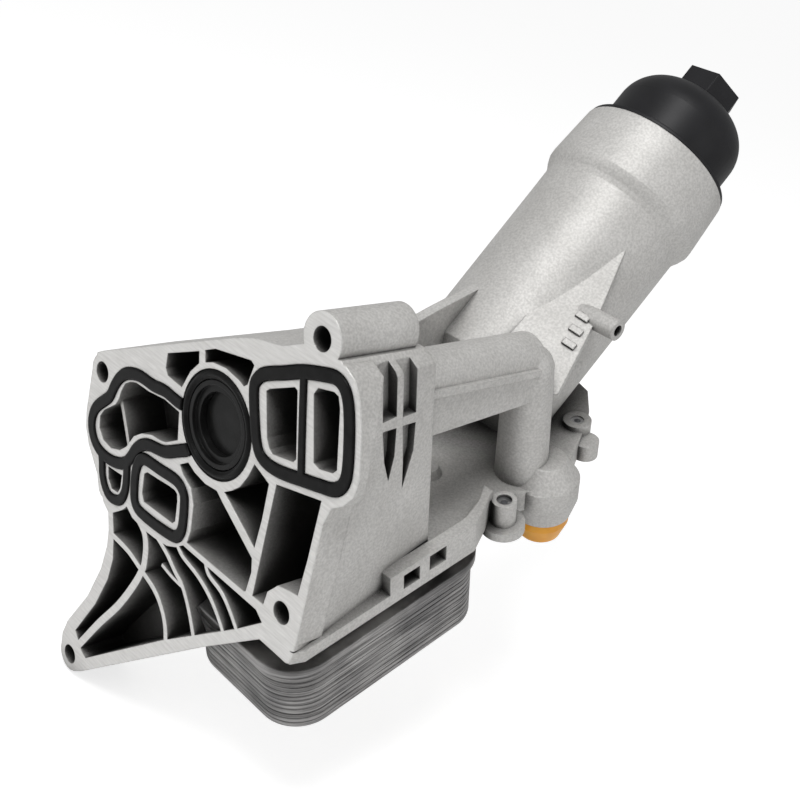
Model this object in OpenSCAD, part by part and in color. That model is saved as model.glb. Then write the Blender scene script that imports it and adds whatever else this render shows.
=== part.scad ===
// Oil filter housing with cooler, as seen from its engine side.
// Origin: centre of the round oil port on the gasket face.
// +X right along the face, +Y away from the engine, +Z up in the face.

/* [Engine face] */
// clearance hole diameter for the four engine bolts
bolt_hole_d = 9; // [8.4:0.2:10]
// depth of the thick front flange of the casting
flange_t = 8; // [6:0.5:11]
// depth of the front pockets in the body
pocket_depth = 26; // [18:1:30]
// depth of the lower arm behind the gasket face
arm_depth = 26; // [20:1:32]
// width of the moulded port gaskets
gasket_w = 4.6; // [3.8:0.2:5]
// height of the moulded port gaskets
gasket_h = 3.4; // [2.8:0.2:4]
// how far the gaskets stand proud of the face
gasket_proud = 0.7; // [0.3:0.1:1.2]

/* [Round oil port] */
// outer diameter of the round port gasket
port_ring_d = 42.4; // [41:0.2:43]
// bore of the check valve cage
cage_bore_d = 25; // [22:0.5:27]
// travel of the check valve disc
check_travel = 5; // [3:0.5:6]

/* [Filter tube] */
// x position of the filter tube axis
tube_x = 5; // [2:1:8]
// distance from the rim to the casting bowl end
tube_len = 136; // [130:1:142]
// bore of the filter tube
tube_bore_d = 66.8; // [66.2:0.2:68]
// wall of the filter tube
tube_wall = 3.2; // [2.6:0.2:4]
// outer diameter of the collar at the rim
rim_d = 77; // [76:0.5:79]

/* [Filter cap] */
// size across flats of the cap hex
hex_af = 27; // [24:0.5:30]
// height of the hex above the dome
hex_h = 9; // [7:0.5:12]
// outer diameter of the cap dome
dome_d = 64; // [60:0.5:66]
// height of the cap dome above the rim
dome_h = 40; // [38:0.5:42]
// travel while the thread is engaged
thread_len = 16; // [12:1:18]

/* [Filter element] */
// outer diameter of the cartridge
element_d = 64; // [60:0.5:65]
// clearance between the cartridge and the cap skirt
cap_gap = 4; // [3:0.5:8]
// number of paper pleats
pleat_count = 48; // [30:1:60]

/* [Oil cooler] */
// cooler width
cooler_w = 69.4; // [66:0.2:70]
// cooler length
cooler_l = 109; // [106:1:110]
// number of stacked plates
plate_count = 12; // [8:1:14]
// pitch of the stacked plates
plate_pitch = 2.57; // [2:0.01:2.7]
// thickness of the cooler base plate
base_plate_t = 4; // [3:0.5:5]

/* [Coolant outlet] */
// outer diameter of the outlet stub
stub_d = 18.4; // [17:0.2:20]
// wall of the outlet stub
stub_wall = 2.4; // [2:0.2:3]

/* [Hidden] */
$fn = 64;
run_gap = 0.35;
bolt_r = bolt_hole_d / 2;
bolt_head_r = bolt_r + 2.4;
bolts = [[-76.5, -13.7, 36], [45.4, 55.8, 37], [54.2, -50, 22], [-72.3, -156.9, arm_depth]];
cooler_tilt = 17;
tube_elev = 50;
rim_y = 231;
rim_z = 101;
flange_c = -69.5;
lip_c = flange_c + 5;
floor_c = flange_c + 10.5;
seal_c = -78.7;
cooler_x0 = -9.9;
cooler_b0 = -18;
tube_r = tube_bore_d / 2 + tube_wall;
port_r = port_ring_d / 2;
groove_depth = gasket_h - gasket_proud;
cage_r = 17.2;
check_seat_y = 5;
disc_t = 1.6;
check_room = 12.4;
cage_len = check_seat_y + disc_t + check_travel + check_room;
collar_r = tube_bore_d / 2 + 1;
bowl_z = 4 - tube_len;
skirt_r = collar_r - 0.4;
skirt_z = -thread_len - 2;
cap_hollow_r = min(dome_d / 2 - 3.2, skirt_r - 5);
element_z = bowl_z + 4;
element_h = skirt_z - cap_gap - element_z;
element_r = element_d / 2;
disc_h = 2.4;
core_r = 12.4;
pipe_r = 10.4;
pipe_wall = 1.8;
pipe_top = element_z + element_h - 16;
seat_t = 2.5;
bypass_travel = 4;
bypass_room = bypass_travel + 16;
plate_c = seal_c - base_plate_t;
cooler_corner = 17.5;
plate_gap = 0.45;
port_spots = [[7, 8], [43, 8], [7, 64], [43, 64]];
cooler_port_r = 7;
screw_spots = [[4, 36], [46, 36], [4, 84]];
channel_z = 33;
channel_r = 9;
outlet_x = 57;
outlet_b = 127;
stub_c = -86;
boss_spot = [61, 97, flange_c];
ear_spot = [43.4, 164.4, flange_c];
elbow_spot = [48.5, 121, flange_c];
elbow_h = 64.5;
elbow_top_r = channel_r + 1.4;
lug_s = 88;
lug_y = -20;
lug_x = 53;
lug_r = 4.6;
lug_core_r = 2.5;
seal_h = 1.6;
seal_r = 10.2;
screw_r = 3;
screw_head_r = 5;
bar_w = 2.9;
twin_bar = [[40.6, 40.2], [44.6, 24], [49.6, 4.6]];

// closed smooth curve through points
function spline(p, n) = [for (i = [0 : len(p) - 1]) for (k = [0 : n - 1])
  let (m = len(p), a = p[(i + m - 1) % m], b = p[i], c = p[(i + 1) % m], d = p[(i + 2) % m], t = k / n)
  0.5 * (2 * b + (c - a) * t + (2 * a - 5 * b + 4 * c - d) * t * t + (3 * b - a - 3 * c + d) * t * t * t)];
// open smooth curve through points
function curve(p, n) = concat([for (i = [0 : len(p) - 2]) for (k = [0 : n - 1])
  let (m = len(p) - 1, a = p[max(i - 1, 0)], b = p[i], c = p[i + 1], d = p[min(i + 2, m)], t = k / n)
  0.5 * (2 * b + (c - a) * t + (2 * a - 5 * b + 4 * c - d) * t * t + (3 * b - a - 3 * c + d) * t * t * t)],
  [p[len(p) - 1]]);
function side(a, b) = let (v = b - a, l = norm(v)) [v[1] / l, -v[0] / l];
function grown(p, d) = [for (i = [0 : len(p) - 1])
  let (m = len(p), u = side(p[(i + m - 1) % m], p[i]) + side(p[i], p[(i + 1) % m])) p[i] + d * u / norm(u)];
function shifted(p, d) = [for (i = [0 : len(p) - 1])
  let (m = len(p) - 1, u = side(p[max(i - 1, 0)], p[max(i, 1)]) + side(p[min(i, m - 1)], p[min(i + 1, m)]))
  p[i] + d * u / norm(u)];
function backwards(p) = [for (i = [len(p) - 1 : -1 : 0]) p[i]];

module ring(p, w) {
  difference() {
    polygon(grown(p, w / 2));
    polygon(grown(p, -w / 2));
  }
}
module rib_line(p, w) {
  q = curve(p, 4);
  polygon(concat(shifted(q, w / 2), backwards(shifted(q, -w / 2))));
}
module face(y0, h) {
  translate([0, y0 + h, 0]) rotate([90, 0, 0]) linear_extrude(h) children();
}
module along_y(x, z, y0, h, r) {
  translate([x, y0 + h, z]) rotate([90, 0, 0]) cylinder(h = h, r = r);
}
module tilted() {
  rotate([cooler_tilt, 0, 0]) children();
}
module slab(c0, h) {
  tilted() translate([0, 0, c0]) linear_extrude(h) children();
}
module tube_frame(s) {
  translate([tube_x, rim_y, rim_z]) rotate([tube_elev - 90, 0, 0]) translate([0, 0, -s]) children();
}
module rounded(w, l, r) {
  union() {
    translate([r, 0]) square([w - 2 * r, l]);
    translate([0, r]) square([w, l - 2 * r]);
    for (x = [r, w - r]) for (y = [r, l - r]) translate([x, y]) circle(r = r);
  }
}

// face outlines, x and z, anticlockwise
body_out = [[-83.9, -15.9], [-84, -24], [-84.2, -36], [-83, -43], [-79.5, -49.5], [-73, -54.5],
  [-70.2, -59.5], [-67.5, -66], [-62, -70], [-40, -80], [0, -76], [46, -66.8], [54, -65], [61, -62.6],
  [64.6, -58], [64.6, -40], [64.4, -6], [66.5, 1.5], [71.5, 5.2], [75.4, 11], [76, 18], [72.3, 33.5],
  [68.6, 43.5], [64.4, 49], [58.6, 51.8], [40, 52], [36.3, 48.7], [26.9, 44.9], [13.3, 41.7], [6, 38.8],
  [0.4, 36.2], [-35.7, 17.4], [-77.9, -4.5], [-81.8, -7]];
wall_out = [[-83.9, -15.9], [-84.2, -36], [-79.5, -49.5], [-70.2, -59.5], [-62, -70], [-40, -78], [0, -74],
  [46, -66.8], [57, -64.4], [64.4, -60.6], [64.4, 44], [62, 48.5], [56, 52.5], [40, 52], [26.9, 44.9],
  [13.3, 41.7], [0.4, 36.2], [-35.7, 17.4], [-77.9, -4.5], [-81.8, -7]];
arm_out = [[-70.2, -59.5], [-63, -69.5], [-58.6, -72], [-56.5, -79.8], [-56, -87.3], [-58, -100.5],
  [-65, -119.7], [-77.6, -141.6], [-80.3, -150], [-80, -158], [-74, -164.6], [-67.5, -163.5],
  [-61.6, -159.3], [17.5, -90.6], [46, -67.5], [54, -60], [50, -50], [-40, -50]];
arm_hollow = [[-55.4, -70.4], [-52.9, -78.6], [-52, -83], [-50.6, -91.3], [-52.2, -102.6], [-58.5, -119.7],
  [-70.6, -142.2], [-66, -147], [-63, -149.8], [-60.1, -150.8], [-9.9, -106.4], [32.6, -71.8],
  [45.5, -60.2], [41, -57.2], [-6.5, -57.4], [-11, -61], [-16.5, -63.6], [-25, -65], [-34, -65.6],
  [-41.6, -64.8], [-46.4, -62.2], [-48.5, -64.8], [-51.5, -67.4]];
left_loop = spline([[-10, -2], [-24, -1.9], [-33, -1.6], [-41, -2.9], [-50, -3.2], [-58, -5.6], [-63, -9.5],
  [-66.2, -14.8], [-68.6, -21], [-73, -25.8], [-77.2, -30.5], [-79, -36], [-78.2, -41.2], [-75, -45.6],
  [-70, -48], [-63.5, -48.3], [-57.5, -47], [-52, -44.2], [-48.5, -39.6], [-46, -34.6], [-42.5, -30.8],
  [-38, -28.3], [-33, -27.1], [-27.5, -25.8], [-21, -22.2], [-10, -14]], 4);
small_branch = [[-69.6, -46.6], [-67.6, -52], [-66, -57.5], [-62.6, -62.2], [-58.4, -64.2], [-53, -62.9],
  [-49.8, -59.2], [-48.8, -53], [-50.4, -42.4]];
diamond_loop = backwards(spline([[-38, -35.2], [-28.5, -34.4], [-19.5, -33.4], [-14.8, -33.8],
  [-11.2, -36.2], [-9.8, -40], [-8.7, -48], [-9, -52.4], [-11, -55.8], [-14.5, -57.4], [-25, -58.8],
  [-34, -59.2], [-38.8, -58.6], [-41.6, -56], [-42.8, -51.5], [-43.6, -45], [-43, -39.5], [-41.2, -36.6]],
  4));
twin_loop = backwards(spline([[17.3, 23.6], [18.3, 28.4], [22, 31.9], [30.5, 36.2], [39.7, 41],
  [49.5, 44.6], [55.5, 46.2], [60.2, 44.9], [63.8, 40.4], [67, 31.5], [70, 19], [69.6, 12.8], [66, 8.8],
  [59, 6.5], [51.1, 4.3], [40.6, 1.4], [33.5, 0.4], [28, 1.3], [24.6, 4.5], [21.5, 11]], 4));
left_port = [[-22.5, -5.6], [-32.7, -5], [-43.1, -6.7], [-52.3, -7.1], [-56.1, -8.5], [-59.8, -11.2],
  [-61.7, -15.4], [-62.4, -19.2], [-64.2, -22.8], [-71.8, -29.2], [-74, -33.3], [-73.2, -38.5],
  [-69.4, -42.2], [-63.2, -43], [-56.8, -40.6], [-52.7, -36.8], [-48.7, -29.8], [-43.9, -26.1],
  [-37.2, -23.3], [-30.9, -22.6], [-27.6, -21.6], [-20.5, -17]];
small_port = [[-63.2, -51.8], [-61.8, -57.2], [-58.6, -60.2], [-54, -59.6], [-52.6, -56.6], [-52.8, -50.6]];
diamond_port = [[-36.3, -40.1], [-38.2, -41.8], [-37.6, -50.6], [-35.6, -53.6], [-15.4, -52.2],
  [-13.8, -50.4], [-14.6, -41.4], [-15.4, -38.6], [-17.3, -37.8], [-22, -38.2]];
twin_port_a = [[23.6, 25.9], [25, 27.4], [37.4, 34], [39, 33.4], [45.2, 9.6], [44, 7.8], [33, 5.2],
  [31, 6.2], [28.6, 9.6]];
twin_port_b = [[46.9, 36.1], [48.4, 39], [56.1, 41.2], [58.5, 40.7], [60.4, 36.9], [65.2, 16], [63.7, 14],
  [56.9, 12], [53.8, 12.8]];
pocket_1 = [[-35.2, 13.8], [-35, 7.6], [-33, 5.2], [-23.4, 4.7], [-19.8, 13.2], [-15.5, 18.6],
  [-16.6, 23.2]];
pocket_2 = [[-13.3, 25.1], [-12, 20.6], [-7.7, 22.6], [0, 23.8], [8.1, 22.8], [11.4, 21.8], [13.2, 23.4],
  [14.9, 31.9], [12.8, 32.9], [-7.6, 28.2]];
pocket_3 = [[-16.7, -25.9], [-13.8, -28.9], [-7.6, -31.9], [-4.7, -37.3], [-3.6, -49], [-4.6, -55],
  [32.6, -54.4], [33.6, -53.6], [34.6, -44.6], [33.4, -39], [11.2, -26.8], [7.4, -24.4], [0, -25.4],
  [-7.1, -24.3], [-12, -22.4]];
pocket_4 = [[11.6, -22.6], [33.6, -34.4], [34.5, -21.6], [34.4, -6.4], [24.9, -3.3], [22.9, -9.5],
  [19.6, -15.8], [15.4, -19.9]];
pocket_5 = [[38.1, -4.5], [37.6, -53.2], [44.2, -52.8], [45, -46.5], [49.5, -41], [54.5, -39.6],
  [60.3, -38.5], [61.1, -22.5], [61.4, 1.8]];
ribs = [[3.6, [[-40.2, -62.1], [-32.9, -66], [-29.8, -71.6], [-29, -79.5], [-29.7, -83.7], [-33.7, -94],
    [-42, -109.7], [-53.2, -126.2], [-62.3, -140.8], [-67, -148.5]]],
  [2.6, [[-54, -80.4], [-41.5, -81], [-32.7, -83.3], [-20.3, -87], [-13.5, -91.8], [-9.1, -98.1],
  [-6.5, -106.5]]],
  [2.2, [[-26.5, -62.5], [-16.5, -66.5], [-8.7, -71.3], [-2.4, -74.8], [3.7, -82], [10.1, -92.5]]],
  [2.0, [[-9.8, -59.6], [-5.7, -62.1], [5.5, -64.6], [14.8, -68.8], [22.5, -74.7], [27, -79.6]]],
  [2.0, [[8.2, -56], [11.5, -60.1], [20.2, -62.5], [27.4, -67.1], [34.4, -73.6]]],
  [1.6, [[-17.6, -73.4], [-10.5, -74.6], [-3.4, -74.9]]]];
windows = [[[27.4, 44], [27.4, 22.5], [34.4, 21.5], [34.4, 43]], [[37.6, 42.6], [37.6, 19.5], [44.4, 18],
  [44.4, 41.6]], [[27.4, 18.4], [28.4, 4], [30.6, -6], [33.6, 4], [34.4, 16.4]], [[37.6, 15.6], [38.2, -2],
  [38, -14], [43.6, 1], [44.4, 13.6]]];
flange_out = [[-6, -21], [58, -21], [63.5, -19], [66.2, -14], [66.8, 74], [61, 86], [57.5, 92], [56, 104],
  [60, 112], [69, 118], [71, 127], [68, 134], [60, 140], [54, 152], [48, 164], [41, 176], [30, 188],
  [10, 194], [-20, 188], [-27, 170], [-27, 134], [-8, 126]];
rear_out = [[-20, 96], [50, 94], [57, 93], [56, 104], [60, 112], [69, 118], [71, 127], [68, 134], [60, 140],
  [54, 152], [48, 164], [41, 176], [30, 188], [10, 194], [-20, 188], [-27, 170], [-27, 134]];
flange_dish = [[2, -8], [57, -8], [60.8, -4], [61, 74], [57, 86], [52, 94], [34, 108], [32, 132.6],
  [2, 132.6]];

module housing_solid() {
  // front flange with the bulge round the twin port
  difference() {
    face(0, flange_t + 5) polygon(body_out);
    translate([76, flange_t / 2, -120]) rotate([0, 0, 52]) cube([40, 40, 260]);
    tilted() translate([-150, -60, flange_c - 60]) cube([300, 300, 65]);
  }
  // body box, its back square to the cooler plane
  difference() {
    face(0, 75) polygon(wall_out);
    translate([64.5, 0, -120]) rotate([0, 0, 4]) cube([40, 140, 260]);
    tilted() translate([-150, 54, -150]) cube([300, 200, 300]);
    tilted() translate([-150, -60, flange_c - 60]) cube([300, 300, 65]);
    translate([-158, 36, -150]) cube([150, 200, 300]);
  }
  // arm, cut free from the cooler behind it
  difference() {
    face(0, arm_depth) polygon(arm_out);
    slab(seal_c - 80, 80) translate([cooler_x0 - 3, cooler_b0 - 2.8])
      rounded(cooler_w + 6, cooler_l, cooler_corner);
  }
  along_y(bolts[1][0], bolts[1][1], 0, bolts[1][2], 9.6);
  along_y(bolts[0][0], bolts[0][1], 0, bolts[0][2], 7.6);
  along_y(bolts[3][0], bolts[3][1], 0, bolts[3][2], 7.9);
  // cooler flange, its pad and the raised rim
  slab(lip_c, floor_c - lip_c) polygon(flange_out);
  slab(flange_c, 5.5) polygon(rear_out);
  // seat for the cooler, set in from the lip
  slab(seal_c, lip_c + 1 - seal_c) translate([-5.5, -12.5]) rounded(62, 104, 14);
  slab(flange_c + 5, 14.5) difference() {
    intersection() {
      polygon(flange_out);
      translate([20, 28]) square([60, 66]);
    }
    polygon(flange_dish);
  }
  // screw boss with the ear below it
  tilted() translate(boss_spot) cylinder(h = 15.5, r = 5.4);
  tilted() translate(boss_spot) cylinder(h = 4, r = 9.5);
  slab(flange_c, 4) translate([50, 90]) square([11, 16]);
  // outlet drum with its sloping shoulder and stub
  tilted() translate([outlet_x, outlet_b, -70]) cylinder(h = 10, r = 15.5);
  tilted() translate([outlet_x, outlet_b, -79]) cylinder(h = 9.01, r1 = 13, r2 = 15.5);
  tilted() translate([outlet_x, outlet_b, -60.5]) cylinder(h = 10, r1 = 15.5, r2 = 9);
  tilted() translate([outlet_x, outlet_b, stub_c]) cylinder(h = 8, r = stub_d / 2);
  // small cast bump in the floor
  tilted() translate([23.4, 90, -60]) cylinder(h = 5, r1 = 6, r2 = 4);
  // ears with the upper screw
  tilted() translate(ear_spot) cylinder(h = 13, r = 6.5);
  tilted() translate([52, 161, flange_c]) cylinder(h = 8, r = 6);
  // channel and elbow
  along_y(45, channel_z, 30, 87, channel_r + 2.4);
  translate([45 - channel_r - 2.4, 0, 0]) rotate([90, 0, 90]) linear_extrude(2 * channel_r + 4.8)
    polygon([[30, channel_z], [117, channel_z], [117, 19], [30, 12]]);
  face(46, 66) translate([50, channel_z - 1.5]) square([channel_r - 0.6, 3]);
  tilted() translate(elbow_spot) {
    cylinder(h = elbow_h, r1 = channel_r + 2.8, r2 = elbow_top_r);
    translate([0, 0, elbow_h]) sphere(r = elbow_top_r);
  }
  // tube base block
  slab(flange_c, 34) translate([-22, 133]) square([46, 44]);
  slab(flange_c, 8) translate([24, 140]) square([14, 30]);
  // web between body and tube
  translate([-6.5, 0, 0]) rotate([90, 0, 90]) linear_extrude(5)
    polygon([[30, 5], [112, 35], [139, 44], [150, 10], [150, -10], [36, -50], [30, -50]]);
  // tube, collar and closed bowl
  tube_frame(0) rotate_extrude() polygon([[0, 0], [rim_d / 2, 0], [rim_d / 2 + 1.5, -24],
    [rim_d / 2 + 1.4, -26.5], [rim_d / 2 + 0.4, -29], [tube_r + 0.8, -31.5], [tube_r, -34],
    [tube_r - 0.6, 6 - tube_len], [tube_r - 6, -tube_len], [0, -tube_len]]);
  // side fin on the tube with the threaded stub
  tube_frame(57) translate([30.3, -20.5, 0]) rotate([-8.5, 0, 16]) {
    rotate([90, 0, 0]) translate([0, 0, -4]) linear_extrude(4)
      polygon([[-3, 6], [0.8, 4.2], [10.5, -29], [19.5, -70], [14, -77], [-14, -77], [-14, -30]]);
    for (k = [0 : 2]) translate([3 + 1.6 * k, -1.2, -36 - 7 * k]) cube([6, 2, 3]);
  }
  tube_frame(lug_s) translate([lug_x - 33, lug_y, 0]) rotate([0, 90, 0]) cylinder(h = 33, r = lug_r);
}

module housing() {
  color([0.78, 0.78, 0.77])
  difference() {
    union() {
      difference() {
        housing_solid();
        // front pockets
        for (p = [pocket_1, pocket_2]) face(-1, pocket_depth - 5) polygon(p);
        for (p = [pocket_3, pocket_4, pocket_5]) face(-1, pocket_depth + 1) polygon(p);
        difference() {
          face(-1, arm_depth - 3) polygon(arm_hollow);
          for (r = ribs) face(-2, arm_depth + 2) rib_line(r[1], r[0]);
        }
        // rear hollows behind the web
        difference() {
          face(pocket_depth + 4, 60) polygon([[-66, -16], [-78, -24], [-78, -36], [-66, -52], [-8, -62],
            [-8, 22], [-36, 12]]);
          for (x = [-60, -44, -28]) translate([x, 0, -80]) cube([2.4, 80, 120]);
        }
        difference() {
          face(pocket_depth + 4, 60) polygon([[-4, -56], [57, -56], [57, 0], [22, 0], [22, 30], [-4, 26]]);
          slab(flange_c, 10.5) polygon(flange_out);
        }
        // side windows
        for (w = windows) tilted() translate([58.2, 0, 0]) rotate([90, 0, 90]) linear_extrude(30) polygon(w);
        translate([60.5, 10.5, 6]) cube([20, 1.2, 34]);
        // gasket grooves
        face(-1, groove_depth + 1) difference() {
          union() {
            ring(left_loop, gasket_w + 2 * run_gap);
            rib_line(small_branch, gasket_w - 0.6 + 2 * run_gap);
            ring(diamond_loop, gasket_w + 2 * run_gap);
          }
          circle(r = port_r - 1);
        }
        face(-1, groove_depth + 1) ring(twin_loop, gasket_w + 2 * run_gap);
        face(-1, groove_depth + 1) rib_line(twin_bar, bar_w + 2 * run_gap);
        along_y(0, 0, -1, groove_depth + 1, port_r + run_gap);
        // ports
        face(-1, 23) polygon(left_port);
        face(-1, 19) polygon(small_port);
        face(-1, 25) polygon(diamond_port);
        face(-1, 47) polygon(twin_port_a);
        face(-1, 11) polygon(twin_port_b);
        face(-1, 47) intersection() {
          polygon(twin_port_b);
          translate([40, 0]) square([15.5, 60]);
        }
        along_y(0, 0, -1, cage_len + 5, cage_r + 0.02);
        along_y(0, 0, -1, cage_len + 20, cage_r - 4);
      }
      // boss of the lower right bolt
      along_y(bolts[2][0], bolts[2][1], 0, bolts[2][2], 8.4);
      // wall inside the left port
      face(2.5, 21) rib_line([[-64.6, -20.6], [-59.5, -29], [-53.5, -39.6]], 2);
    }
    // bolt holes with room for the heads behind
    for (b = bolts) {
      along_y(b[0], b[1], -10, b[2] + 12, bolt_r);
      along_y(b[0], b[1], b[2], 12, bolt_head_r);
    }
    // coolant way from the twin port through channel and elbow
    along_y(45, channel_z, 40, 76, channel_r);
    translate([45 - channel_r, 0, 0]) rotate([90, 0, 90]) linear_extrude(2 * channel_r)
      polygon([[40, channel_z], [116, channel_z], [116, 22], [40, 15.5]]);
    tilted() translate(elbow_spot) translate([0, 0, 7.5]) cylinder(h = elbow_h - 7.5, r = channel_r - 1.2);
    tilted() translate([outlet_x, outlet_b, -100]) cylinder(h = 42, r = stub_d / 2 - stub_wall);
    // cooler ports, their seal seats and the screw holes
    for (p = port_spots) tilted() translate([p[0], p[1], seal_c - 1]) {
      cylinder(h = 9, r = cooler_port_r);
      cylinder(h = 1 + seal_h, r = seal_r + run_gap);
    }
    for (p = screw_spots) tilted() translate([p[0], p[1], seal_c - 1])
      cylinder(h = floor_c - seal_c + 3, r = screw_r + 0.4);
    // nothing of the casting stands in front of the gasket face
    translate([-150, -40, -200]) cube([300, 40, 300]);
    // filter bore, collar and thread
    tube_frame(0) translate([0, 0, bowl_z]) cylinder(h = -bowl_z - 30, r = tube_bore_d / 2);
    tube_frame(0) translate([0, 0, -31]) cylinder(h = 60, r = collar_r);
    for (k = [0 : 2]) tube_frame(0) translate([0, 0, -thread_len + 2 + 3.6 * k]) rotate_extrude()
      polygon([[collar_r - 1, -1.5], [collar_r, -1.5], [collar_r + 0.9, -0.5], [collar_r + 0.9, 0.3],
        [collar_r, 1.3], [collar_r - 1, 1.3]]);
    // drain way below the standpipe
    tube_frame(0) translate([0, 0, bowl_z - 2]) cylinder(h = 6, r = pipe_r + 0.02);
    // threaded stub and screw holes
    tube_frame(lug_s) translate([lug_x - 19, lug_y, 0]) rotate([0, 90, 0]) cylinder(h = 30, r = lug_core_r);
    tilted() translate(boss_spot) translate([0, 0, -5]) cylinder(h = 40, r = screw_r + 0.3);
    tilted() translate(ear_spot) translate([0, 0, 3.5]) cylinder(h = 40, r = screw_r + 0.02);
    // cast windows in the rim
    tilted() translate([59, 35, -60]) cube([20, 8.5, 7]);
    tilted() translate([59, 48.7, -59]) cube([20, 9, 7.5]);
  }
}

// seals on the engine face
module round_port_gasket() {
  color([0.06, 0.06, 0.06])
  translate([0, groove_depth, 0]) rotate([90, 0, 0]) rotate_extrude() union() {
    translate([cage_r + 0.5, 0]) square([port_r - cage_r - 0.5, gasket_h - 0.9]);
    translate([(port_r + cage_r + 0.5) / 2, gasket_h - 1.1]) circle(r = 1.1, $fn = 24);
  }
}
module left_port_gasket() {
  color([0.06, 0.06, 0.06])
  face(-gasket_proud, gasket_h) difference() {
    union() {
      ring(left_loop, gasket_w);
      rib_line(small_branch, gasket_w - 0.6);
    }
    circle(r = port_r + run_gap + 0.1);
  }
}
module lower_port_gasket() {
  color([0.06, 0.06, 0.06])
  face(-gasket_proud, gasket_h) ring(diamond_loop, gasket_w);
}
module twin_port_gasket() {
  color([0.06, 0.06, 0.06])
  face(-gasket_proud, gasket_h) union() {
    ring(twin_loop, gasket_w);
    rib_line(twin_bar, bar_w);
  }
}

// non-return valve in the round port
module check_valve_cage() {
  color([0.09, 0.09, 0.09])
  difference() {
    along_y(0, 0, 0.4, cage_len, cage_r);
    along_y(0, 0, -1, 3, cage_r - 2);
    along_y(0, 0, -1, cage_len + 4, cage_bore_d / 2);
    along_y(0, 0, check_seat_y, cage_len - check_seat_y - 2, cage_bore_d / 2 + 1.9);
    for (k = [0 : 3]) rotate([0, k * 90, 0]) translate([10, check_seat_y + 3, -4]) cube([20, 9, 8]);
  }
  color([0.09, 0.09, 0.09])
  for (k = [0 : 2]) rotate([0, 60 * k, 0]) translate([-cage_r + 2.6, cage_len - 2.4, -1.1])
    cube([2 * cage_r - 5.2, 2, 2.2]);
}
module check_valve_disc() {
  color([0.12, 0.12, 0.12])
  difference() {
    union() {
      along_y(0, 0, check_seat_y + 0.1, disc_t, cage_bore_d / 2 + 1.2);
      along_y(0, 0, check_seat_y + 0.1, 5, 3.4);
    }
    along_y(0, 0, check_seat_y + 3, 10, 1.6);
  }
}
module coil(r, wire, turns, h) {
  n = 16;
  steps = turns * n;
  pts = [for (i = [0 : steps]) for (k = [0 : 5]) let (a = 360 * i / n, b = 60 * k, q = r + wire * cos(b))
    [q * cos(a), q * sin(a), wire + (h - 2 * wire) * i / steps + wire * sin(b)]];
  polyhedron(points = pts, faces = concat(
    [[for (k = [0 : 5]) k]],
    [[for (k = [5 : -1 : 0]) steps * 6 + k]],
    [for (i = [0 : steps - 1]) for (k = [0 : 5]) [i * 6 + k, i * 6 + 6 + k, i * 6 + 6 + (k + 1) % 6]],
    [for (i = [0 : steps - 1]) for (k = [0 : 5]) [i * 6 + k, i * 6 + 6 + (k + 1) % 6, i * 6 + (k + 1) % 6]]));
}
module check_valve_spring() {
  color([0.62, 0.63, 0.65])
  translate([0, check_seat_y + disc_t + 0.15, 0]) rotate([-90, 0, 0])
    coil(5.2, 0.5, 5, cage_len - 2.4 - check_seat_y - disc_t - 0.2);
}

// screw cap
module filter_cap() {
  color([0.08, 0.08, 0.09])
  tube_frame(0) difference() {
    union() {
      rotate_extrude() union() {
        polygon([[0, 0.35], [rim_d / 2 - 0.6, 0.35], [rim_d / 2 - 0.6, 2.1], [dome_d / 2, 2.6], [dome_d / 2,
          dome_h / 2],
          [dome_d / 2 - 3, dome_h / 2 + 2], [0, dome_h / 2 + 2]]);
        intersection() {
          translate([dome_d / 2 - 17.5, dome_h / 2 - 1]) circle(r = 17.5);
          translate([0, 4]) square([dome_d, dome_h]);
        }
        polygon([[0, 4], [dome_d / 2 - 17, 4], [dome_d / 2 - 16, dome_h / 2 + 16.3], [hex_af / 2 + 1,
          dome_h - 1.4], [0, dome_h]]);
        polygon([[0, 0.4], [0, skirt_z], [skirt_r - 0.9, skirt_z], [skirt_r - 0.9, -7], [skirt_r, -6.4],
          [skirt_r, -5.1],
          [skirt_r - 2.6, -5.1], [skirt_r - 2.6, -2.5], [skirt_r, -2.5], [skirt_r, 0.4]]);
      }
      for (k = [0 : 2]) translate([0, 0, -thread_len + 2 + 3.6 * k]) rotate_extrude()
        polygon([[skirt_r - 3, -0.9], [skirt_r - 0.9, -0.9], [skirt_r - 0.1, -0.3], [skirt_r - 0.1, 0.1],
          [skirt_r - 0.9, 0.7], [skirt_r - 3, 0.7]]);
      translate([0, 0, dome_h - 6]) cylinder(h = 6 + hex_h, r = hex_af / 2 / cos(30), $fn = 6);
    }
    // hollow inside
    translate([0, 0, skirt_z - 1]) cylinder(h = dome_h / 2 - skirt_z - 2, r = cap_hollow_r);
    translate([0, 0, dome_h / 2 - 3.2]) cylinder(h = 15, r1 = cap_hollow_r,
      r2 = dome_d / 2 - 15);
    // socket in the hex
    translate([0, 0, dome_h + hex_h - 6]) cylinder(h = 10, r = hex_af / 2 - 4);
  }
  // clips that hold the cartridge
  color([0.08, 0.08, 0.09])
  tube_frame(0) for (k = [0 : 3]) rotate([0, 0, 45 + 90 * k])
    translate([dome_d / 2 - 12, -3, element_z + element_h + 0.3]) cube([3, 6,
      dome_h / 2 + 9 - element_z - element_h]);
}
module cap_seal_ring() {
  color([0.05, 0.05, 0.05])
  tube_frame(3.8) rotate_extrude() translate([skirt_r - 1.25, 0]) circle(r = 1.25, $fn = 24);
}

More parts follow.
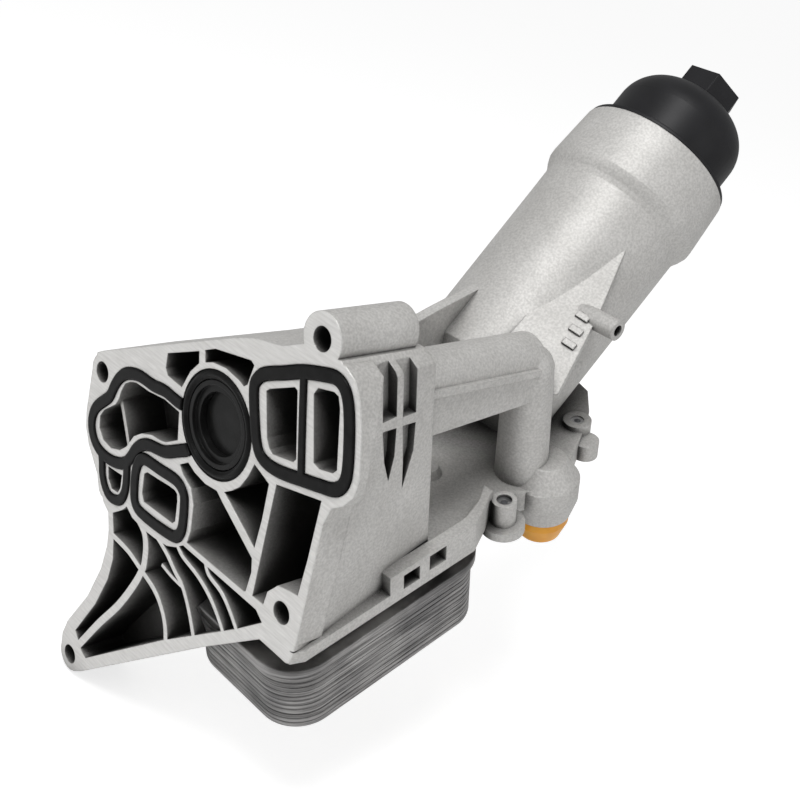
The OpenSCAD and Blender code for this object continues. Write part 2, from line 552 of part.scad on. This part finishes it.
// cartridge
module filter_paper() {
  color([0.86, 0.78, 0.55])
  tube_frame(0) translate([0, 0, element_z + disc_h]) linear_extrude(element_h - 2 * disc_h) difference() {
    polygon([for (k = [0 : pleat_count - 1]) for (e = [[element_r - 0.8, -0.06], [element_r - 0.8, 0.06],
      [core_r + 3.4, 0.44], [core_r + 3.4, 0.56]])
      let (a = 360 * (k + e[1]) / pleat_count) [e[0] * cos(a), e[0] * sin(a)]]);
    polygon([for (k = [0 : pleat_count - 1]) for (e = [[element_r - 3.2, 0], [core_r + 1.6, 0.5]])
      let (a = 360 * (k + e[1]) / pleat_count) [e[0] * cos(a), e[0] * sin(a)]]);
  }
}
module element_bottom_disc() {
  color([0.75, 0.72, 0.66])
  tube_frame(0) translate([0, 0, element_z]) difference() {
    cylinder(h = disc_h, r = element_r);
    translate([0, 0, -1]) cylinder(h = disc_h + 2, r = pipe_r + 1.1);
  }
}
module element_top_disc() {
  color([0.75, 0.72, 0.66])
  tube_frame(0) translate([0, 0, element_z + element_h - disc_h]) difference() {
    cylinder(h = disc_h, r = element_r);
    translate([0, 0, -1]) cylinder(h = disc_h + 2, r = 7);
  }
}
module element_core() {
  color([0.7, 0.68, 0.62])
  tube_frame(0) translate([0, 0, element_z + disc_h]) difference() {
    cylinder(h = element_h - 2 * disc_h, r = core_r + 1.2);
    translate([0, 0, -1]) cylinder(h = element_h, r = core_r);
    for (j = [0 : 5]) for (k = [0 : 2]) rotate([0, 0, 60 * k])
      translate([-20, -2.6, 7 + (element_h - 20) * j / 6]) cube([40, 5.2, 9]);
  }
}

// standpipe with the bypass valve in its head
module standpipe() {
  color([0.14, 0.14, 0.15])
  tube_frame(0) difference() {
    union() {
      translate([0, 0, bowl_z - 2]) cylinder(h = pipe_top - bowl_z + 2, r = pipe_r);
      translate([0, 0, bowl_z]) cylinder(h = 3, r = 16);
    }
    translate([0, 0, bowl_z - 3]) cylinder(h = pipe_top - bowl_z + 3 - seat_t, r = pipe_r - pipe_wall);
    translate([0, 0, pipe_top - seat_t - 1]) cylinder(h = seat_t + 2, r = 4.8);
    translate([0, 0, element_z + 3.1]) difference() {
      cylinder(h = 2.2, r = pipe_r + 1);
      translate([0, 0, -1]) cylinder(h = 5, r = pipe_r - 0.9);
    }
    for (j = [0 : 3]) for (k = [0 : 1]) rotate([0, 0, 90 * k]) translate([-20, -2.4,
      element_z + 10 + 13 * j]) cube([40, 4.8, 8]);
  }
}
module standpipe_seal() {
  color([0.05, 0.05, 0.05])
  tube_frame(0) translate([0, 0, element_z + 4.2]) rotate_extrude() translate([pipe_r + 0.05, 0])
    circle(r = 0.9, $fn = 20);
}
module bypass_plunger() {
  color([0.6, 0.6, 0.62])
  tube_frame(0) translate([0, 0, pipe_top - seat_t - 0.1]) rotate([180, 0, 0]) difference() {
    union() {
      cylinder(h = 1.8, r = 7.4);
      cylinder(h = 6, r = 2.4);
    }
    translate([0, 0, 3]) cylinder(h = 9, r = 1.2);
  }
}
module bypass_spring() {
  color([0.62, 0.63, 0.65])
  tube_frame(0) translate([0, 0, pipe_top - seat_t - bypass_room + 2]) coil(5.4, 0.5, 5, bypass_room - 4.1);
}
module bypass_retainer() {
  color([0.6, 0.6, 0.62])
  tube_frame(0) translate([0, 0, pipe_top - seat_t - bypass_room]) difference() {
    cylinder(h = 2, r = pipe_r - pipe_wall - 0.02);
    for (k = [0 : 3]) rotate([0, 0, 90 * k]) translate([4.6, 0, -1]) cylinder(h = 4, r = 1.9);
    translate([0, 0, -1]) cylinder(h = 4, r = 1.5);
  }
}

// plate cooler
module cooler_core() {
  color([0.6, 0.6, 0.6])
  difference() {
    union() {
      for (k = [0 : plate_count - 1]) slab(plate_c - plate_pitch * (k + 1) + plate_gap,
        plate_pitch - plate_gap)
        translate([cooler_x0, cooler_b0]) rounded(cooler_w, cooler_l, cooler_corner);
      slab(plate_c - plate_pitch * plate_count + 1, plate_pitch * plate_count - 1)
        translate([cooler_x0 + plate_gap, cooler_b0 + plate_gap])
          rounded(cooler_w - 2 * plate_gap, cooler_l - 2 * plate_gap, cooler_corner - plate_gap);
    }
    for (p = port_spots) tilted() translate([p[0], p[1], plate_c - plate_pitch * plate_count + 4])
      cylinder(h = plate_pitch * plate_count, r = cooler_port_r);
  }
}
module cooler_base_plate() {
  color([0.66, 0.66, 0.66])
  difference() {
    slab(plate_c, base_plate_t) translate([cooler_x0 - 1.8, cooler_b0 - 1.8])
      rounded(cooler_w + 3.6, cooler_l + 3.6, cooler_corner + 1.8);
    for (p = port_spots) tilted() translate([p[0], p[1], plate_c - 1]) cylinder(h = base_plate_t + 2,
      r = cooler_port_r);
    for (p = screw_spots) tilted() translate([p[0], p[1], plate_c + 0.6]) cylinder(h = 20,
      r = screw_r + 0.02);
  }
}
module cooler_port_seals() {
  color([0.05, 0.2, 0.12])
  for (p = port_spots) slab(seal_c, seal_h) translate(p) difference() {
    circle(r = seal_r);
    circle(r = cooler_port_r + 0.6);
  }
}
module screw(l) {
  cylinder(h = l + 1, r = screw_r);
  difference() {
    translate([0, 0, l]) cylinder(h = 4.5, r = screw_head_r);
    translate([0, 0, l + 1.8]) cylinder(h = 9, r = 2.6, $fn = 6);
  }
}
module cooler_screws() {
  color([0.55, 0.55, 0.56])
  for (p = screw_spots) tilted() translate([p[0], p[1], plate_c + 0.6]) screw(floor_c - plate_c - 0.6);
}
module boss_screw() {
  color([0.5, 0.5, 0.52])
  tilted() translate(boss_spot) translate([0, 0, 6]) difference() {
    cylinder(h = 8, r = screw_r + 0.28);
    translate([0, 0, 5]) cylinder(h = 9, r = 1.7, $fn = 6);
  }
}
module ear_screw() {
  color([0.5, 0.5, 0.52])
  tilted() translate(ear_spot) translate([0, 0, 3.5]) difference() {
    cylinder(h = 9, r = screw_r);
    translate([0, 0, 6]) cylinder(h = 9, r = 1.7, $fn = 6);
  }
}
module transport_cap() {
  color([0.96, 0.62, 0.1])
  tilted() translate([outlet_x, outlet_b, 0]) difference() {
    union() {
      translate([0, 0, stub_c + 3]) cylinder(h = 3.7, r = stub_d / 2 + 3.2);
      translate([0, 0, stub_c - 5]) cylinder(h = 8.01, r1 = stub_d / 2 + 0.2, r2 = stub_d / 2 + 3.2);
    }
    translate([0, 0, stub_c - run_gap]) cylinder(h = 20, r = stub_d / 2 + run_gap);
    translate([0, 0, stub_c - 3]) cylinder(h = 8, r = stub_d / 2 - 3.6);
  }
}

housing();
round_port_gasket();
check_valve_cage();
check_valve_disc();
check_valve_spring();
left_port_gasket();
lower_port_gasket();
twin_port_gasket();
filter_cap();
cap_seal_ring();
filter_paper();
element_top_disc();
element_bottom_disc();
element_core();
standpipe();
standpipe_seal();
bypass_plunger();
bypass_spring();
bypass_retainer();
cooler_core();
cooler_base_plate();
cooler_port_seals();
cooler_screws();
boss_screw();
ear_screw();
transport_cap();
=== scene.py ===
import math

import bpy
from mathutils import Matrix, Vector


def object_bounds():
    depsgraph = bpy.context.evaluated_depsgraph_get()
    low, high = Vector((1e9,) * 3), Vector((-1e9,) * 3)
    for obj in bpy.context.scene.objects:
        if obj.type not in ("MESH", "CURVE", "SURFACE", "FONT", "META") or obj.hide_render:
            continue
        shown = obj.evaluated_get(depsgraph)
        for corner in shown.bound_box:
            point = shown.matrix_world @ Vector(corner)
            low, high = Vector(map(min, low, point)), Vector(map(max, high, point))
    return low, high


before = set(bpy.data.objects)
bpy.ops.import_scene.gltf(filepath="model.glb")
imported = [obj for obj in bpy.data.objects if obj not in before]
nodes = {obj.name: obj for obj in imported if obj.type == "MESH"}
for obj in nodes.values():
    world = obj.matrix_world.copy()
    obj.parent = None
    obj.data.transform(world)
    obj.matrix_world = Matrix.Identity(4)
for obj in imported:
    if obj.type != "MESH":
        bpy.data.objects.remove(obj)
cad_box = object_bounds()

# The housing is one aluminium die casting, bead blasted after casting and then milled flat on the
# engine face. Deep pockets get painted shade, and the blasted skin carries a fine grain.


def start_finish(name):
    """A new material with its shader, links and object coordinates ready."""
    finish = bpy.data.materials.new(name)
    finish.use_nodes = True
    tree = finish.node_tree
    shader = tree.nodes["Principled BSDF"]
    place = tree.nodes.new("ShaderNodeTexCoord")
    return finish, tree, shader, place.outputs["Object"]


def grain(tree, place, size, detail=4.0, squeeze=(1, 1, 1), tilt=0.0):
    """Noise with lumps about size metres across, squeezed along the axes and tilted about X."""
    mapping = tree.nodes.new("ShaderNodeMapping")
    mapping.vector_type = "TEXTURE"
    mapping.inputs["Rotation"].default_value = (tilt, 0, 0)
    mapping.inputs["Scale"].default_value = [1 / k for k in squeeze]
    tree.links.new(place, mapping.inputs["Vector"])
    noise = tree.nodes.new("ShaderNodeTexNoise")
    noise.inputs["Scale"].default_value = 1 / size
    noise.inputs["Detail"].default_value = detail
    tree.links.new(mapping.outputs["Vector"], noise.inputs["Vector"])
    return noise.outputs["Fac"]


def shades(tree, factor, stops):
    """A colour ramp: stops are pairs of position and grey or colour."""
    ramp = tree.nodes.new("ShaderNodeValToRGB")
    for k, (spot, colour) in enumerate(stops):
        stop = ramp.color_ramp.elements[k] if k < 2 else ramp.color_ramp.elements.new(spot)
        stop.position = spot
        stop.color = (*colour, 1)
    tree.links.new(factor, ramp.inputs["Fac"])
    return ramp.outputs["Color"]


def blend_colours(tree, factor, low, high, mode="MIX"):
    """Mixes two colours; factor may be a number or a socket."""
    mix = tree.nodes.new("ShaderNodeMix")
    mix.data_type = "RGBA"
    mix.blend_type = mode
    for socket, value in ((mix.inputs["Factor"], factor), (mix.inputs[6], low), (mix.inputs[7], high)):
        if isinstance(value, bpy.types.NodeSocket):
            tree.links.new(value, socket)
        else:
            socket.default_value = value
    return mix.outputs[2]


def bumps(tree, shader, layers, soften=None):
    """Stacks bump layers of (height socket, depth in metres); soften rounds the edges by a radius."""
    normal = None
    if soften:
        edge = tree.nodes.new("ShaderNodeBevel")
        edge.samples = 6
        edge.inputs["Radius"].default_value = soften
        normal = edge.outputs["Normal"]
    for height, depth in layers:
        bump = tree.nodes.new("ShaderNodeBump")
        bump.inputs["Distance"].default_value = depth
        bump.inputs["Strength"].default_value = 1.0
        tree.links.new(height, bump.inputs["Height"])
        if normal:
            tree.links.new(normal, bump.inputs["Normal"])
        normal = bump.outputs["Normal"]
    tree.links.new(normal, shader.inputs["Normal"])


def painted_hollow_shade(tree, reach, dark, light):
    """Painted shade: grey that falls from light in the open to dark deep in a hollow, over reach metres."""
    hidden = tree.nodes.new("ShaderNodeAmbientOcclusion")
    hidden.samples = 12
    hidden.inputs["Distance"].default_value = reach
    return shades(tree, hidden.outputs["AO"], [(0.3, dark), (0.72, light)])


def put_on(finish, *names):
    """Gives CAD nodes this finish in all their slots."""
    for name in names:
        for slot in nodes[name].material_slots:
            slot.material = finish


blasted, tree, shader, place = start_finish("blasted_casting")
cloud = shades(tree, grain(tree, place, 0.03, 5), [(0.3, (0.54, 0.53, 0.512)), (0.7, (0.64, 0.63, 0.612))])
speck = shades(tree, grain(tree, place, 0.001, 2), [(0.35, (0.8, 0.8, 0.8)), (0.65, (1, 1, 1))])
skin = blend_colours(tree, 1.0, cloud, speck, "MULTIPLY")
# Painted shade: the casting's deep pockets fall to near black in its colour.
painted_pocket_shade = painted_hollow_shade(tree, 0.036, (0.03, 0.029, 0.028), (1, 1, 1))
shader.inputs["Metallic"].default_value = 0.35
blast_marks = grain(tree, place, 0.0008, 3)
bumps(tree, shader, [(blast_marks, 0.00006), (grain(tree, place, 0.012, 3), 0.0004)], 0.0009)

# The cutter leaves the gasket face itself brighter and smoother than the skin round it.
# The face lies at Y = 0, so the milled look ends just behind it.
milled_depth = 0.0003
axes = tree.nodes.new("ShaderNodeSeparateXYZ")
tree.links.new(place, axes.inputs["Vector"])
milled = tree.nodes.new("ShaderNodeMath")
milled.operation = "LESS_THAN"
milled.inputs[1].default_value = milled_depth
tree.links.new(axes.outputs["Y"], milled.inputs[0])
cutter_marks = shades(tree, grain(tree, place, 0.003, 4, (0.3, 1, 3)),
                      [(0.3, (0.6, 0.592, 0.575)), (0.7, (0.74, 0.732, 0.715))])
face_skin = blend_colours(tree, milled.outputs["Value"], skin, cutter_marks)
tree.links.new(blend_colours(tree, 1.0, face_skin, painted_pocket_shade, "MULTIPLY"), shader.inputs["Base Color"])
smooth = tree.nodes.new("ShaderNodeMapRange")
smooth.inputs["To Min"].default_value = 0.55
smooth.inputs["To Max"].default_value = 0.38
tree.links.new(milled.outputs["Value"], smooth.inputs["Value"])
tree.links.new(smooth.outputs["Result"], shader.inputs["Roughness"])
put_on(blasted, "housing")

# The port seals are moulded black rubber, one loop round each port or group of ports.
# They are pressed into milled grooves and stand a little proud, so the bolts squeeze them.

rubber, tree, shader, place = start_finish("moulded_rubber")
tone = shades(tree, grain(tree, place, 0.004, 4),
              [(0.3, (0.004, 0.004, 0.004)), (0.7, (0.009, 0.009, 0.009))])
tree.links.new(tone, shader.inputs["Base Color"])
shader.inputs["Roughness"].default_value = 0.32
shader.inputs["Specular IOR Level"].default_value = 0.1
bumps(tree, shader, [(grain(tree, place, 0.0006, 2), 0.00003)], 0.0012)
put_on(rubber, "round_port_gasket", "left_port_gasket", "lower_port_gasket", "twin_port_gasket")
put_on(rubber, "cap_seal_ring", "standpipe_seal", "cooler_port_seals")

# The check valve insert is moulded in black nylon and pressed into the round port.
# Its disc and the standpipe in the filter tube are moulded in the same nylon.

nylon, tree, shader, place = start_finish("black_nylon")
tone = shades(tree, grain(tree, place, 0.006, 4), [(0.3, (0.004, 0.004, 0.004)), (0.7, (0.01, 0.01, 0.01))])
tree.links.new(tone, shader.inputs["Base Color"])
shader.inputs["Roughness"].default_value = 0.3
shader.inputs["Specular IOR Level"].default_value = 0.15
bumps(tree, shader, [(grain(tree, place, 0.001, 2), 0.00002)], 0.0005)
put_on(nylon, "check_valve_cage", "check_valve_disc", "standpipe")

# The screw cap is moulded in glass filled nylon with a fine eroded skin and a plain dome.
# Its thread engages the tube's collar, and a spanner turns it by the hex on top.

cap_skin, tree, shader, place = start_finish("eroded_cap_skin")
tone = shades(tree, grain(tree, place, 0.02, 4), [(0.3, (0.01, 0.01, 0.011)), (0.7, (0.016, 0.016, 0.018))])
tree.links.new(tone, shader.inputs["Base Color"])
shader.inputs["Roughness"].default_value = 0.45
shader.inputs["Specular IOR Level"].default_value = 0.22
bumps(tree, shader, [(grain(tree, place, 0.0007, 2), 0.00003)], 0.0009)
put_on(cap_skin, "filter_cap")

# The cartridge is pleated resin treated paper glued between two felt discs.
# A moulded lattice inside holds the pleats open, and clips on the cap carry it.

paper, tree, shader, place = start_finish("filter_paper")
tone = shades(tree, grain(tree, place, 0.002, 6), [(0.3, (0.62, 0.5, 0.28)), (0.7, (0.74, 0.63, 0.4))])
tree.links.new(tone, shader.inputs["Base Color"])
shader.inputs["Roughness"].default_value = 0.85
bumps(tree, shader, [(grain(tree, place, 0.0004, 2), 0.00005)])
put_on(paper, "filter_paper")

felt, tree, shader, place = start_finish("felt_disc")
tone = shades(tree, grain(tree, place, 0.001, 6, (1, 1, 4)),
              [(0.3, (0.42, 0.4, 0.34)), (0.7, (0.58, 0.55, 0.48))])
tree.links.new(tone, shader.inputs["Base Color"])
shader.inputs["Roughness"].default_value = 0.95
bumps(tree, shader, [(grain(tree, place, 0.0005, 4), 0.0001)])
put_on(felt, "element_top_disc", "element_bottom_disc")

lattice, tree, shader, place = start_finish("moulded_lattice")
tone = shades(tree, grain(tree, place, 0.008, 3), [(0.3, (0.34, 0.32, 0.28)), (0.7, (0.42, 0.4, 0.35))])
tree.links.new(tone, shader.inputs["Base Color"])
shader.inputs["Roughness"].default_value = 0.5
put_on(lattice, "element_core")

# The cooler is a stack of aluminium dishes brazed together on a thicker base plate.
# Fine lines run along the dishes, and flux and handling leave dark and bright patches.

brazed, tree, shader, place = start_finish("brazed_plates")
cooler_tilt = math.radians(17)
streak = shades(tree, grain(tree, place, 0.0045, 8, (0.14, 0.14, 5), cooler_tilt),
                [(0.34, (0.13, 0.127, 0.124)), (0.66, (0.44, 0.432, 0.425))])
patch = shades(tree, grain(tree, place, 0.022, 5), [(0.36, (0.55, 0.55, 0.56)), (0.6, (1, 1, 1))])
# Painted shade: the narrow gaps between the dishes are darkened a little in the colour.
painted_pocket_shade = painted_hollow_shade(tree, 0.002, (0.7, 0.7, 0.7), (1, 1, 1))
skin = blend_colours(tree, 1.0, streak, patch, "MULTIPLY")
tree.links.new(blend_colours(tree, 1.0, skin, painted_pocket_shade, "MULTIPLY"), shader.inputs["Base Color"])
shader.inputs["Metallic"].default_value = 0.85
shader.inputs["Roughness"].default_value = 0.4
bumps(tree, shader, [(grain(tree, place, 0.002, 4, (0.2, 0.2, 5), cooler_tilt), 0.0001)], 0.0012)
put_on(brazed, "cooler_core", "cooler_base_plate")

# Screws, bypass plunger and retainer are turned and plated steel.
# The two springs are wound from bright wire.

bright, tree, shader, place = start_finish("bright_steel")
tone = shades(tree, grain(tree, place, 0.003, 4), [(0.3, (0.42, 0.42, 0.43)), (0.7, (0.6, 0.6, 0.61))])
tree.links.new(tone, shader.inputs["Base Color"])
shader.inputs["Metallic"].default_value = 0.9
shader.inputs["Roughness"].default_value = 0.28
bumps(tree, shader, [(grain(tree, place, 0.0008, 2), 0.00002)], 0.0003)
put_on(bright, "cooler_screws", "boss_screw", "ear_screw")
put_on(bright, "bypass_plunger", "bypass_retainer", "bypass_spring", "check_valve_spring")

# The coolant outlet is closed for transport with an orange cap moulded in soft plastic.
# It holds by friction on the stub and is pulled off before the hose goes on.

orange, tree, shader, place = start_finish("orange_transport_cap")
tone = shades(tree, grain(tree, place, 0.006, 3), [(0.3, (0.76, 0.31, 0.012)), (0.7, (0.84, 0.38, 0.02))])
tree.links.new(tone, shader.inputs["Base Color"])
shader.inputs["Roughness"].default_value = 0.38
shader.inputs["Subsurface Weight"].default_value = 0.15
shader.inputs["Subsurface Scale"].default_value = 0.003
bumps(tree, shader, [(grain(tree, place, 0.0012, 2), 0.00003)], 0.0008)
put_on(orange, "transport_cap")

# The part stands in a pale studio on a white floor that keeps a soft shadow.
# It glows for the camera alone, which brings it close to the white of the air behind it.

floor_side = 60.0
floor_gap = 0.002
lowest = cad_box[0][2]
bpy.ops.mesh.primitive_plane_add(size=floor_side, location=(0, 0, lowest - floor_gap))
floor = bpy.context.object
floor.name = "studio_floor"
paint, tree, shader, place = start_finish("studio_white")
tone = shades(tree, grain(tree, place, 1.5, 2), [(0.0, (0.93, 0.93, 0.93)), (1.0, (0.95, 0.95, 0.95))])
tree.links.new(tone, shader.inputs["Base Color"])
shader.inputs["Roughness"].default_value = 0.9
shader.inputs["Specular IOR Level"].default_value = 0.1
glow = tree.nodes.new("ShaderNodeEmission")
glow.inputs["Strength"].default_value = 0.74
glowing_floor = tree.nodes.new("ShaderNodeAddShader")
floor_choice = tree.nodes.new("ShaderNodeMixShader")
grey_floor = tree.nodes.new("ShaderNodeBsdfDiffuse")
grey_floor.inputs["Color"].default_value = (0.5, 0.5, 0.5, 1)
floor_rays = tree.nodes.new("ShaderNodeLightPath")
tree.links.new(grey_floor.outputs["BSDF"], glowing_floor.inputs[0])
tree.links.new(glow.outputs["Emission"], glowing_floor.inputs[1])
tree.links.new(floor_rays.outputs["Is Camera Ray"], floor_choice.inputs["Fac"])
tree.links.new(shader.outputs["BSDF"], floor_choice.inputs[1])
tree.links.new(glowing_floor.outputs["Shader"], floor_choice.inputs[2])
tree.links.new(floor_choice.outputs["Shader"], tree.nodes["Material Output"].inputs["Surface"])
floor.data.materials.append(paint)

# The air is plain white for the camera, as the photograph's background is.
# The part is lit by a dimmer white, so that its sides keep their shading.

world = bpy.data.worlds.new("studio_air")
bpy.context.scene.world = world
world.use_nodes = True
air = world.node_tree
dim = air.nodes["Background"]
dim.inputs["Color"].default_value = (1, 1, 1, 1)
dim.inputs["Strength"].default_value = 0.42
white = air.nodes.new("ShaderNodeBackground")
white.inputs["Color"].default_value = (1, 1, 1, 1)
white.inputs["Strength"].default_value = 1.0
rays = air.nodes.new("ShaderNodeLightPath")
pick = air.nodes.new("ShaderNodeMixShader")
air.links.new(rays.outputs["Is Camera Ray"], pick.inputs["Fac"])
air.links.new(dim.outputs["Background"], pick.inputs[1])
air.links.new(white.outputs["Background"], pick.inputs[2])
air.links.new(pick.outputs["Shader"], air.nodes["World Output"].inputs["Surface"])

# Three large soft lamps look at the middle of the part.
# One hangs high in front, one stands on the right and one stands in front on the left.

middle = Vector((0.0, 0.08, 0.0))


def soft_lamp(name, place, side, power):
    """A square area lamp that looks at the middle of the part."""
    lamp = bpy.data.lights.new(name, "AREA")
    lamp.shape = "SQUARE"
    lamp.size = side
    lamp.energy = power
    holder = bpy.data.objects.new(name, lamp)
    holder.location = place
    holder.rotation_euler = (middle - Vector(place)).to_track_quat("-Z", "Y").to_euler()
    bpy.context.collection.objects.link(holder)


soft_lamp("key_lamp", (0.3, -0.5, 1.4), 0.55, 14)
soft_lamp("side_lamp", (1.3, 0.3, 0.5), 0.8, 1.4)
soft_lamp("front_lamp", (-0.6, -1.3, 0.7), 0.9, 3.5)

# The camera repeats the view of the photograph: from the right, in front and a little above.
# Its place and turn come from the same solution as the sizes of the part.

camera_place = Vector((0.3081, -0.2641, 0.2043))
camera_right = Vector((0.6785, 0.7007, 0.2203))
camera_up = Vector((-0.4360, 0.1428, 0.8886))
camera_back = Vector((0.5912, -0.6990, 0.4024))
sight = bpy.data.cameras.new("photo_camera")
sight.sensor_width = 36.0
sight.lens = 54.0
sight.clip_start = 0.01
camera = bpy.data.objects.new("photo_camera", sight)
turn = Matrix((camera_right, camera_up, camera_back)).transposed()
camera.matrix_world = Matrix.Translation(camera_place) @ turn.to_4x4()
bpy.context.collection.objects.link(camera)
bpy.context.scene.camera = camera
bpy.context.scene.view_settings.view_transform = "Standard"
